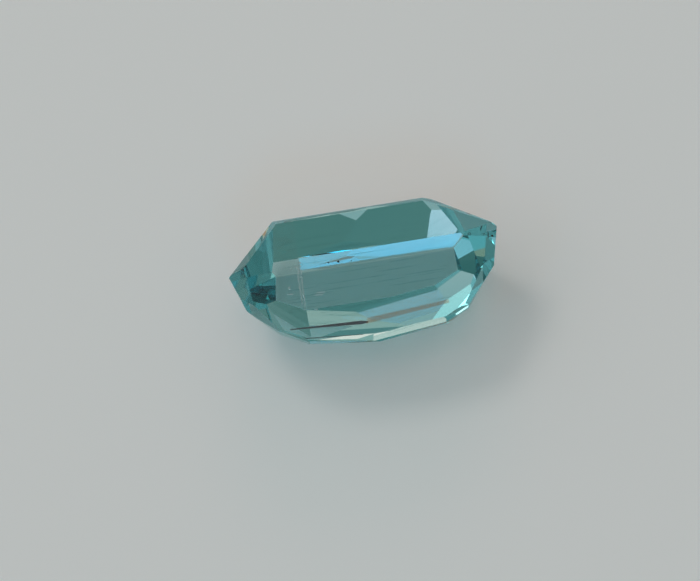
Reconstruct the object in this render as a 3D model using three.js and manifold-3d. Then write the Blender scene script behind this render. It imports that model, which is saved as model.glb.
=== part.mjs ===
// A loose step-cut emerald: one clear stone with a large flat table, a thin
// bevelled crown, a narrow upright girdle and a stepped pavilion that ends in
// a flat bottom facet. Millimetres, +Z up out of the table, +X along the
// stone and +Y towards its straightest long side. The origin is on the bottom
// facet, under the middle of the girdle.

import * as THREE from 'three';
import { mergeVertices } from 'three/addons/utils/BufferGeometryUtils.js';
import Module from 'manifold-3d';

// Driving dimensions.
const DEPTH = 3; // bottom facet to table
const CROWN_HEIGHT = 0.21; // girdle to table
const GIRDLE_THICKNESS = 0.1;
const ROUGH_LENGTH = 12; // the sawn block that the stone is ground from
const ROUGH_WIDTH = 8;

const GIRDLE_TOP = DEPTH - CROWN_HEIGHT;
const GIRDLE_BOTTOM = GIRDLE_TOP - GIRDLE_THICKNESS;
const UPRIGHT = 90;

// All angles are in degrees and all distances in mm. A facing is the way that
// a facet looks, from +X counter-clockwise, a slope is measured from the table,
// and a reach is the distance of a facet's line from the middle of the stone.

// Each side of the stone has an upright girdle facet and a table edge, both as
// [facing, reach], the slope of the crown bevel between them, and the slope of
// the upper pavilion facet that starts at the girdle.
const SIDES = {
  far: { girdle: [90, 2.88], table: [90, 2.63], crown: 40, pavilion: 63 },
  farLeft: { girdle: [137, 4.25], table: [139, 4.0], crown: 36, pavilion: 75 },
  left: { girdle: [197, 4.59], table: [186, 4.33], crown: 25, pavilion: 74 },
  nearLeft: { girdle: [222, 3.88], table: [214, 3.93], crown: 57, pavilion: 63 },
  nearLeftTip: { girdle: [240, 3.4], table: [241, 3.35], crown: 78, pavilion: 62 },
  near: { girdle: [262, 2.82], table: [264, 2.65], crown: 50, pavilion: 62 },
  nearSlant: { girdle: [277, 2.85], table: [275, 2.64], crown: 52, pavilion: 60 },
  nearRightTip: { girdle: [298, 3.5], table: [298, 3.38], crown: 56, pavilion: 55 },
  nearRight: { girdle: [324, 4.07], table: [329, 3.98], crown: 46, pavilion: 72 },
  right: { girdle: [348, 4.71], table: [349, 4.39], crown: 31, pavilion: 74 },
  farRight: { girdle: [53, 3.98], table: [59, 3.57], crown: 48, pavilion: 82 },
};

// The lower pavilion facets are [facing, slope, reach], with the reach taken
// at the level of the bottom facet.
const LOWER_FACETS = {
  farKeel: [90, 56, 1.41],
  leftEnd: [173, 57, 3.49],
  nearLeftTipStep: [240, 51, 1.4],
  nearStrip: [266, 51, 0.67],
  nearStep: [262, 47, 0.56],
  nearSlantStrip: [277, 42, 0.4],
  nearSlantStep: [277, 40, 0.34],
  nearKeel: [270, 27, 0.24],
  nearRightTipStep: [298, 40, 1.19],
  nearRightStep: [324, 65, 2.95],
  rightEnd: [1, 47, 3.4],
};

const rad = THREE.MathUtils.degToRad;
const { Manifold, Mesh } = await loadManifold();

async function loadManifold() {
  const wasm = await Module();
  wasm.setup();
  return wasm;
}

// The solid that a closed three.js geometry bounds.
function toSolid(geometry) {
  geometry.deleteAttribute('normal');
  geometry.deleteAttribute('uv');
  const merged = mergeVertices(geometry);
  return new Manifold(new Mesh({
    numProp: 3,
    vertProperties: new Float32Array(merged.attributes.position.array),
    triVerts: new Uint32Array(merged.index.array),
  }));
}

function toGeometry(solid) {
  const mesh = solid.getMesh();
  const geometry = new THREE.BufferGeometry();
  geometry.setAttribute('position', new THREE.BufferAttribute(mesh.vertProperties, 3));
  geometry.setIndex(new THREE.BufferAttribute(mesh.triVerts, 1));
  geometry.computeVertexNormals();
  return geometry;
}

// A sawn block with the table as its top and the bottom facet as its base.
function roughBlock() {
  const block = new THREE.BoxGeometry(ROUGH_LENGTH, ROUGH_WIDTH, DEPTH);
  block.translate(0, 0, DEPTH / 2);
  return toSolid(block);
}

// Grinds one flat facet, which looks along facing, tipped by tilt from
// straight up, and lies reach from the stone's middle at the given height.
function grind(stone, facing, tilt, reach, height) {
  const lap = new THREE.BoxGeometry(ROUGH_LENGTH * 2, ROUGH_LENGTH * 2, ROUGH_LENGTH);
  lap.translate(0, 0, ROUGH_LENGTH / 2);
  lap.rotateY(rad(tilt));
  lap.translate(reach, 0, height);
  lap.rotateZ(rad(facing));
  return stone.subtract(toSolid(lap));
}

// Grinds a pavilion facet, whose slope is under the stone.
function grindUnder(stone, facing, slope, reach, height) {
  return grind(stone, facing, 180 - slope, reach, height);
}

function grindSide(stone, { girdle, table, crown, pavilion }) {
  const [girdleFacing, girdleReach] = girdle;
  const [tableFacing, tableReach] = table;
  stone = grind(stone, girdleFacing, UPRIGHT, girdleReach, GIRDLE_TOP);
  stone = grind(stone, tableFacing, crown, tableReach, DEPTH);
  return grindUnder(stone, girdleFacing, pavilion, girdleReach, GIRDLE_BOTTOM);
}

function cutStone() {
  let stone = roughBlock();
  for (const side of Object.values(SIDES)) {
    stone = grindSide(stone, side);
  }
  for (const [facing, slope, reach] of Object.values(LOWER_FACETS)) {
    stone = grindUnder(stone, facing, slope, reach, 0);
  }
  return stone;
}

function crystalMaterial() {
  return new THREE.MeshStandardMaterial({
    color: 0x7fbcbc,
    roughness: 0.03,
    metalness: 0,
    transparent: true,
    opacity: 0.5,
    flatShading: true,
  });
}

function emerald() {
  const mesh = new THREE.Mesh(toGeometry(cutStone()), crystalMaterial());
  mesh.name = 'emerald';
  return mesh;
}

const group = new THREE.Group();
group.add(emerald());

export default group;
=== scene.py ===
"""A clear blue-green step-cut emerald on a plain pale floor, under soft coloured lamps."""

import math
import random

import bmesh
import bpy
from mathutils import Matrix, Vector


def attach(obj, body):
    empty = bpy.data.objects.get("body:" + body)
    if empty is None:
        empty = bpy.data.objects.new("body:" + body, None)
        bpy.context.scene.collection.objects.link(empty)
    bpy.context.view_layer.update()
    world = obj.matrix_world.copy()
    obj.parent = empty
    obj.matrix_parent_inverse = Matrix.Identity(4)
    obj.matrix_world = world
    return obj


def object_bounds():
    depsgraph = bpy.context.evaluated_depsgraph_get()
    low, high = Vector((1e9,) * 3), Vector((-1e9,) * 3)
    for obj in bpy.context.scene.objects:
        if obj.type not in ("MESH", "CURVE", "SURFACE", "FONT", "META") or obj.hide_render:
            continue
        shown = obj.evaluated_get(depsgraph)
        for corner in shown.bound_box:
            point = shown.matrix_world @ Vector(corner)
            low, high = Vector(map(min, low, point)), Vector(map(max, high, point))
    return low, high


MM = 0.001

# Crystal: beryl's refraction, and how much light a metre of it takes out:
# the density times (1 - colour) in each of red, green and blue.
CRYSTAL_IOR = 1.58
ABSORPTION_COLOUR = (0.08, 0.71, 0.74, 1.0)
ABSORPTION_PER_METRE = 205.0

# Camera: a long lens above the near side, rolled a little to the right.
CAMERA_TARGET_XY = (-0.69 * MM, -0.69 * MM)
CAMERA_DISTANCE = 0.35
CAMERA_ELEVATION = 60.0
CAMERA_ROLL = -9.1
FRAME_WIDTH = 25.9 * MM
SENSOR_WIDTH_MM = 36.0

# The floor lies a hair below the bottom facet, as grainy paper would.
FLOOR_DROP = 0.02 * MM
FLOOR_SIZE = 0.6
FLOOR_COLOUR = (0.93, 0.92, 0.90, 1.0)

# The lights below started from a fit to the photograph and were then tuned,
# so that they make its blue band and pale strips in the stone.
# The sky is even, with a wide soft glow towards each of these directions:
# azimuth, elevation, colour.
SKY_COLOUR = (0.10, 0.22, 0.20, 1.0)
GLOWS = {
    "far": (90, 20, (0.33, 0.18, 0.18, 1.0)),
    "right": (0, 20, (0.26, 0.10, 0.08, 1.0)),
    "left": (180, 20, (0.50, 0.50, 0.54, 1.0)),
}

# Upright soft panels around the stone, seen through it but not mirrored in it:
# azimuth, elevation, size, brightness.
PANEL_DISTANCE = 0.5
PANELS = {
    "far_window": (80, 20, (0.27, 0.17), (1.45, 0.65, 0.55)),
    "cool_near": (270, 32, (0.18, 0.10), (0.20, 1.80, 3.10)),
    "cool_left": (219, 41, (0.07, 0.07), (0.20, 1.80, 3.10)),
    "pale_left": (186, 40, (0.16, 0.07), (0.75, 0.28, 0.36)),
    "warm_right": (319, 35, (0.08, 0.06), (1.40, 0.35, 0.20)),
}

# Soft lamps on a ceiling above the stone: place in X and Y, size, brightness.
CEILING_HEIGHT = 0.5
CEILING_LAMPS = {
    "warm": ((0.05, -0.105), (0.15, 0.27), (0.74, 0.33, 0.28)),
    "cream": ((-0.049, -0.115), (0.036, 0.06), (1.80, 0.65, 0.55)),
    "left": ((-0.21, 0.02), (0.09, 0.09), (0.95, 0.64, 0.60)),
    "cool": ((-0.094, -0.108), (0.038, 0.05), (0.20, 1.80, 3.10)),
    "cool_far": ((0.133, 0.093), (0.045, 0.05), (0.20, 1.30, 2.10)),
    "bright": ((-0.26, -0.10), (0.05, 0.05), (3.00, 1.80, 1.70)),
    "fill": ((-0.27, 0.32), (0.25, 0.25), (3.00, 2.90, 2.80)),
}
INNER_BOUNCES = 24

# Inclusions, and two painted reflections. Places are in mm from the middle of the table
# along X and Y, and specks and the painted dark reflection's points have their radius, in
# mm, as the third number.
INCLUSION_DEPTH = 0.08 * MM
DARK_SPECKS = [(-0.95, 0.64, 0.052), (-1.32, 0.66, 0.038), (-0.47, 0.59, 0.028)]
BUBBLE_MIDDLE = (-2.5, 0.75)
BUBBLE_SPREAD = (0.22, 0.12)
BUBBLE_COUNT = 22
BUBBLE_RADIUS = 0.02 * MM
BUBBLE_SCALES = (0.6, 1.3)
THREAD_RADIUS = 0.025 * MM
THREAD_ENDS = [((-2.36, 0.86), (-2.44, -1.2)), ((-2.48, 0.7), (-2.53, -0.9))]
THREAD_BEADS = 26
BEAD_LENGTHS = (0.02, 0.09)
THREAD_WANDER = 0.015
SCRATCHES = [
    ((-1.92, -0.52), (-1.62, -0.56)),
    ((-1.98, -0.62), (-1.70, -0.65)),
    ((-3.02, -0.40), (-2.78, -0.43)),
    ((-2.94, -0.16), (-2.86, -0.08)),
    ((-2.94, -0.16), (-2.86, -0.22)),
    ((-2.10, -1.22), (-1.98, -1.24)),
]
CHIP_ENDS = ((4.69, 0.94), (4.66, 0.66))
CHIP_DEPTH = 0.13 * MM
CHIP_RADIUS = 0.018 * MM
# A dark rod inside the stone along the near side: a painted dark reflection, not an
# inclusion.
PAINTED_DARK_REFLECTION_POINTS = [(-3.1, -1.6, 0.02), (-0.45, -1.78, 0.075), (-0.2, -1.8, 0.02)]
PAINTED_DARK_REFLECTION_DEPTH = 1.0 * MM
# A brown tinted sheet inside the stone along the near side: a painted warm reflection, not
# a real film.
PAINTED_WARM_REFLECTION_CORNERS = [(-0.30, -1.90), (2.87, -1.57), (2.87, -1.43), (-0.22, -1.66)]
PAINTED_WARM_REFLECTION_DEPTH = 0.9 * MM
STREAK_COUNT = 70
STREAK_SPAN = (3.1, 1.9)
STREAK_LENGTHS = (0.6, 2.6)
STREAK_WIDTHS = (0.02, 0.07)
STREAK_DEPTH_SCALES = (2, 4)


def new_material(name):
    material = bpy.data.materials.new(name)
    material.use_nodes = True
    material.node_tree.nodes.clear()
    return material, material.node_tree


def crystal_material():
    material, tree = new_material("crystal")
    output = tree.nodes.new("ShaderNodeOutputMaterial")
    surface = tree.nodes.new("ShaderNodeBsdfPrincipled")
    surface.inputs["Base Color"].default_value = (1.0, 1.0, 1.0, 1.0)
    surface.inputs["Roughness"].default_value = 0.0
    surface.inputs["IOR"].default_value = CRYSTAL_IOR
    surface.inputs["Transmission Weight"].default_value = 1.0
    inside = tree.nodes.new("ShaderNodeVolumeAbsorption")
    inside.inputs["Color"].default_value = ABSORPTION_COLOUR
    inside.inputs["Density"].default_value = ABSORPTION_PER_METRE
    tree.links.new(surface.outputs["BSDF"], output.inputs["Surface"])
    tree.links.new(inside.outputs["Volume"], output.inputs["Volume"])
    return material


def matt_material(name, colour, roughness=0.9):
    material, tree = new_material(name)
    output = tree.nodes.new("ShaderNodeOutputMaterial")
    surface = tree.nodes.new("ShaderNodeBsdfPrincipled")
    surface.inputs["Base Color"].default_value = colour
    surface.inputs["Roughness"].default_value = roughness
    tree.links.new(surface.outputs["BSDF"], output.inputs["Surface"])
    return material


def tinted_film(name, colour):
    """A film that only tints what is seen through it."""
    material, tree = new_material(name)
    output = tree.nodes.new("ShaderNodeOutputMaterial")
    surface = tree.nodes.new("ShaderNodeBsdfTransparent")
    surface.inputs["Color"].default_value = colour
    tree.links.new(surface.outputs["BSDF"], output.inputs["Surface"])
    return material


def dress_stone():
    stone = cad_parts["emerald"]
    stone.data.materials.clear()
    stone.data.materials.append(crystal_material())


def add_piece(name, shape, material):
    """Turns a bmesh into a piece that belongs to the stone."""
    mesh = bpy.data.meshes.new(name)
    shape.to_mesh(mesh)
    shape.free()
    mesh.materials.append(material)
    piece = bpy.data.objects.new(name, mesh)
    bpy.context.collection.objects.link(piece)
    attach(piece, "root")


def under_table(x, y, depth=INCLUSION_DEPTH):
    """The point below x, y mm on the table."""
    return Vector((x * MM, y * MM, table_height - depth))


def add_ball(shape, centre, radius):
    place = Matrix.Translation(centre)
    bmesh.ops.create_icosphere(shape, subdivisions=1, radius=radius, matrix=place)


def add_rod(shape, start, end, start_radius, end_radius):
    along = end - start
    turn = along.to_track_quat("Z", "Y").to_matrix().to_4x4()
    place = Matrix.Translation((start + end) / 2) @ turn
    bmesh.ops.create_cone(
        shape, cap_ends=True, segments=6, radius1=start_radius, radius2=end_radius,
        depth=along.length, matrix=place,
    )


def add_sheet(shape, corners, depth):
    shape.faces.new([shape.verts.new(under_table(x, y, depth)) for x, y in corners])


def add_dark_specks(dark):
    shape = bmesh.new()
    for x, y, radius in DARK_SPECKS:
        add_ball(shape, under_table(x, y), radius * MM)
    add_piece("dark_specks", shape, dark)


def add_bubbles(white):
    chance = random.Random(7)
    shape = bmesh.new()
    for _ in range(BUBBLE_COUNT):
        x = chance.gauss(BUBBLE_MIDDLE[0], BUBBLE_SPREAD[0])
        y = chance.gauss(BUBBLE_MIDDLE[1], BUBBLE_SPREAD[1])
        radius = BUBBLE_RADIUS * chance.uniform(*BUBBLE_SCALES)
        add_ball(shape, under_table(x, y), radius)
    add_piece("bubbles", shape, white)


def add_threads(white):
    """Two beaded growth threads that cross the stone from side to side."""
    chance = random.Random(3)
    shape = bmesh.new()
    for start, end in THREAD_ENDS:
        for bead in range(THREAD_BEADS):
            along = (bead + chance.random()) / THREAD_BEADS
            x = start[0] + (end[0] - start[0]) * along + chance.gauss(0, THREAD_WANDER)
            y = start[1] + (end[1] - start[1]) * along
            length = chance.uniform(*BEAD_LENGTHS)
            top = under_table(x, y + length / 2)
            bottom = under_table(x, y - length / 2)
            add_rod(shape, top, bottom, THREAD_RADIUS, THREAD_RADIUS)
    add_piece("threads", shape, white)


def add_scratches(white):
    shape = bmesh.new()
    for start, end in SCRATCHES:
        add_rod(shape, under_table(*start), under_table(*end), THREAD_RADIUS, THREAD_RADIUS)
    add_piece("scratches", shape, white)


def add_chip(dark):
    shape = bmesh.new()
    start, end = [under_table(*point, CHIP_DEPTH) for point in CHIP_ENDS]
    add_rod(shape, start, end, CHIP_RADIUS, CHIP_RADIUS)
    add_piece("chip", shape, dark)


def add_painted_dark_reflection():
    """A dark rod, thicker to the right, along the near side: a painted dark reflection, not
    a real needle.
    """
    shape = bmesh.new()
    for (x1, y1, radius1), (x2, y2, radius2) in zip(PAINTED_DARK_REFLECTION_POINTS, PAINTED_DARK_REFLECTION_POINTS[1:]):
        start = under_table(x1, y1, PAINTED_DARK_REFLECTION_DEPTH)
        end = under_table(x2, y2, PAINTED_DARK_REFLECTION_DEPTH)
        add_rod(shape, start, end, radius1 * MM, radius2 * MM)
    # Its matt dark colour is a painted dark reflection.
    add_piece("painted_dark_reflection", shape, matt_material("painted_dark_reflection", (0.20, 0.16, 0.18, 1.0)))


# A brown film that tints what is seen through it: a painted warm reflection.
def add_painted_warm_reflection():
    shape = bmesh.new()
    add_sheet(shape, PAINTED_WARM_REFLECTION_CORNERS, PAINTED_WARM_REFLECTION_DEPTH)
    add_piece("painted_warm_reflection", shape, tinted_film("painted_warm_reflection", (1.0, 0.62, 0.52, 1.0)))


def add_streaks():
    """Faint growth bands along the stone, just under the table."""
    chance = random.Random(11)
    shape = bmesh.new()
    for _ in range(STREAK_COUNT):
        x = chance.uniform(-STREAK_SPAN[0], STREAK_SPAN[0])
        y = chance.uniform(-STREAK_SPAN[1], STREAK_SPAN[1])
        half = chance.uniform(*STREAK_LENGTHS) / 2
        left, right = max(x - half, -STREAK_SPAN[0]), min(x + half, STREAK_SPAN[0])
        width = chance.uniform(*STREAK_WIDTHS)
        depth = INCLUSION_DEPTH * chance.uniform(*STREAK_DEPTH_SCALES)
        corners = [(left, y), (x, y - width / 2), (right, y), (x, y + width / 2)]
        add_sheet(shape, corners, depth)
    add_piece("streaks", shape, tinted_film("growth_band", (0.84, 0.90, 0.90, 1.0)))


def add_inclusions_and_painted_reflections():
    white = matt_material("white_mineral", (0.80, 0.90, 0.90, 1.0))
    dark = matt_material("dark_mineral", (0.02, 0.02, 0.02, 1.0))
    add_dark_specks(dark)
    add_bubbles(white)
    add_threads(white)
    add_scratches(white)
    add_chip(dark)
    add_painted_dark_reflection()
    add_painted_warm_reflection()
    add_streaks()


def add_floor():
    bpy.ops.mesh.primitive_plane_add(size=FLOOR_SIZE, location=(0, 0, -FLOOR_DROP))
    floor = bpy.context.object
    floor.name = "floor"
    floor.data.materials.append(matt_material("floor", FLOOR_COLOUR))


def toward(azimuth, elevation):
    """The direction at azimuth degrees from +X and elevation above the floor."""
    a, e = math.radians(azimuth), math.radians(elevation)
    return Vector((math.cos(a) * math.cos(e), math.sin(a) * math.cos(e), math.sin(e)))


def new_math(tree, operation, value, operand):
    node = tree.nodes.new("ShaderNodeMath")
    node.operation = operation
    node.inputs[1].default_value = operand
    tree.links.new(value, node.inputs[0])
    return node.outputs[0]


def sky_glow(tree, azimuth, elevation, colour):
    """Light that fades out smoothly at right angles to its own direction."""
    view = tree.nodes.new("ShaderNodeTexCoord").outputs["Generated"]
    facing = tree.nodes.new("ShaderNodeVectorMath")
    facing.operation = "DOT_PRODUCT"
    tree.links.new(view, facing.inputs[0])
    facing.inputs[1].default_value = toward(azimuth, elevation)
    front = new_math(tree, "MAXIMUM", facing.outputs["Value"], 0.0)
    strength = new_math(tree, "POWER", front, 2.0)
    glow = tree.nodes.new("ShaderNodeBackground")
    glow.inputs["Color"].default_value = colour
    tree.links.new(strength, glow.inputs["Strength"])
    return glow.outputs[0]


def add_sky():
    world = bpy.data.worlds.new("sky")
    world.use_nodes = True
    tree = world.node_tree
    background = tree.nodes["Background"]
    background.inputs["Color"].default_value = SKY_COLOUR
    light = background.outputs[0]
    for azimuth, elevation, colour in GLOWS.values():
        total = tree.nodes.new("ShaderNodeAddShader")
        tree.links.new(light, total.inputs[0])
        tree.links.new(sky_glow(tree, azimuth, elevation, colour), total.inputs[1])
        light = total.outputs[0]
    tree.links.new(light, tree.nodes["World Output"].inputs["Surface"])
    bpy.context.scene.world = world


def add_lamp(name, size, colour):
    """A soft rectangle whose lit side looks as bright as colour says."""
    data = bpy.data.lights.new(name, "AREA")
    data.shape = "RECTANGLE"
    data.size, data.size_y = size
    data.color = colour
    data.energy = math.pi * size[0] * size[1]
    lamp = bpy.data.objects.new(name, data)
    bpy.context.collection.objects.link(lamp)
    return lamp


def add_lights():
    for name, (azimuth, elevation, size, colour) in PANELS.items():
        panel = add_lamp(name, size, colour)
        direction = toward(azimuth, elevation)
        panel.location = direction * PANEL_DISTANCE
        panel.visible_glossy = False
        panel.rotation_euler = direction.to_track_quat("Z", "Y").to_euler()
    for name, (place, size, colour) in CEILING_LAMPS.items():
        add_lamp(name, size, colour).location = (*place, CEILING_HEIGHT)


def add_camera():
    data = bpy.data.cameras.new("camera")
    data.sensor_width = SENSOR_WIDTH_MM
    data.lens = SENSOR_WIDTH_MM * CAMERA_DISTANCE / FRAME_WIDTH
    camera = bpy.data.objects.new("camera", data)
    target = Vector((*CAMERA_TARGET_XY, table_height))
    back = toward(-90, CAMERA_ELEVATION)
    tilt = Matrix.Rotation(math.radians(90 - CAMERA_ELEVATION), 4, "X")
    roll = Matrix.Rotation(math.radians(CAMERA_ROLL), 4, "Z")
    camera.matrix_world = Matrix.Translation(target + back * CAMERA_DISTANCE) @ tilt @ roll
    bpy.context.collection.objects.link(camera)
    bpy.context.scene.camera = camera


def allow_long_light_paths():
    """Lets light bounce about inside the stone until it finds its way out."""
    cycles = bpy.context.scene.cycles
    cycles.max_bounces = INNER_BOUNCES
    cycles.glossy_bounces = INNER_BOUNCES
    cycles.transmission_bounces = INNER_BOUNCES


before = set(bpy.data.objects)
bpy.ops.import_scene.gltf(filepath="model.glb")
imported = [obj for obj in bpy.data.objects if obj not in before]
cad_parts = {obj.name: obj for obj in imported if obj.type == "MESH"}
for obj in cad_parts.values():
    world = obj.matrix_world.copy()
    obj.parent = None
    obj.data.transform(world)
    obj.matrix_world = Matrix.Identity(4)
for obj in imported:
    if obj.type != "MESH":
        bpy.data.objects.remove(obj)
cad_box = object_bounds()
table_height = cad_box[1][2]

dress_stone()
add_inclusions_and_painted_reflections()
add_floor()
add_sky()
add_lights()
add_camera()
allow_long_light_paths()
bpy.context.scene.view_settings.view_transform = "Standard"
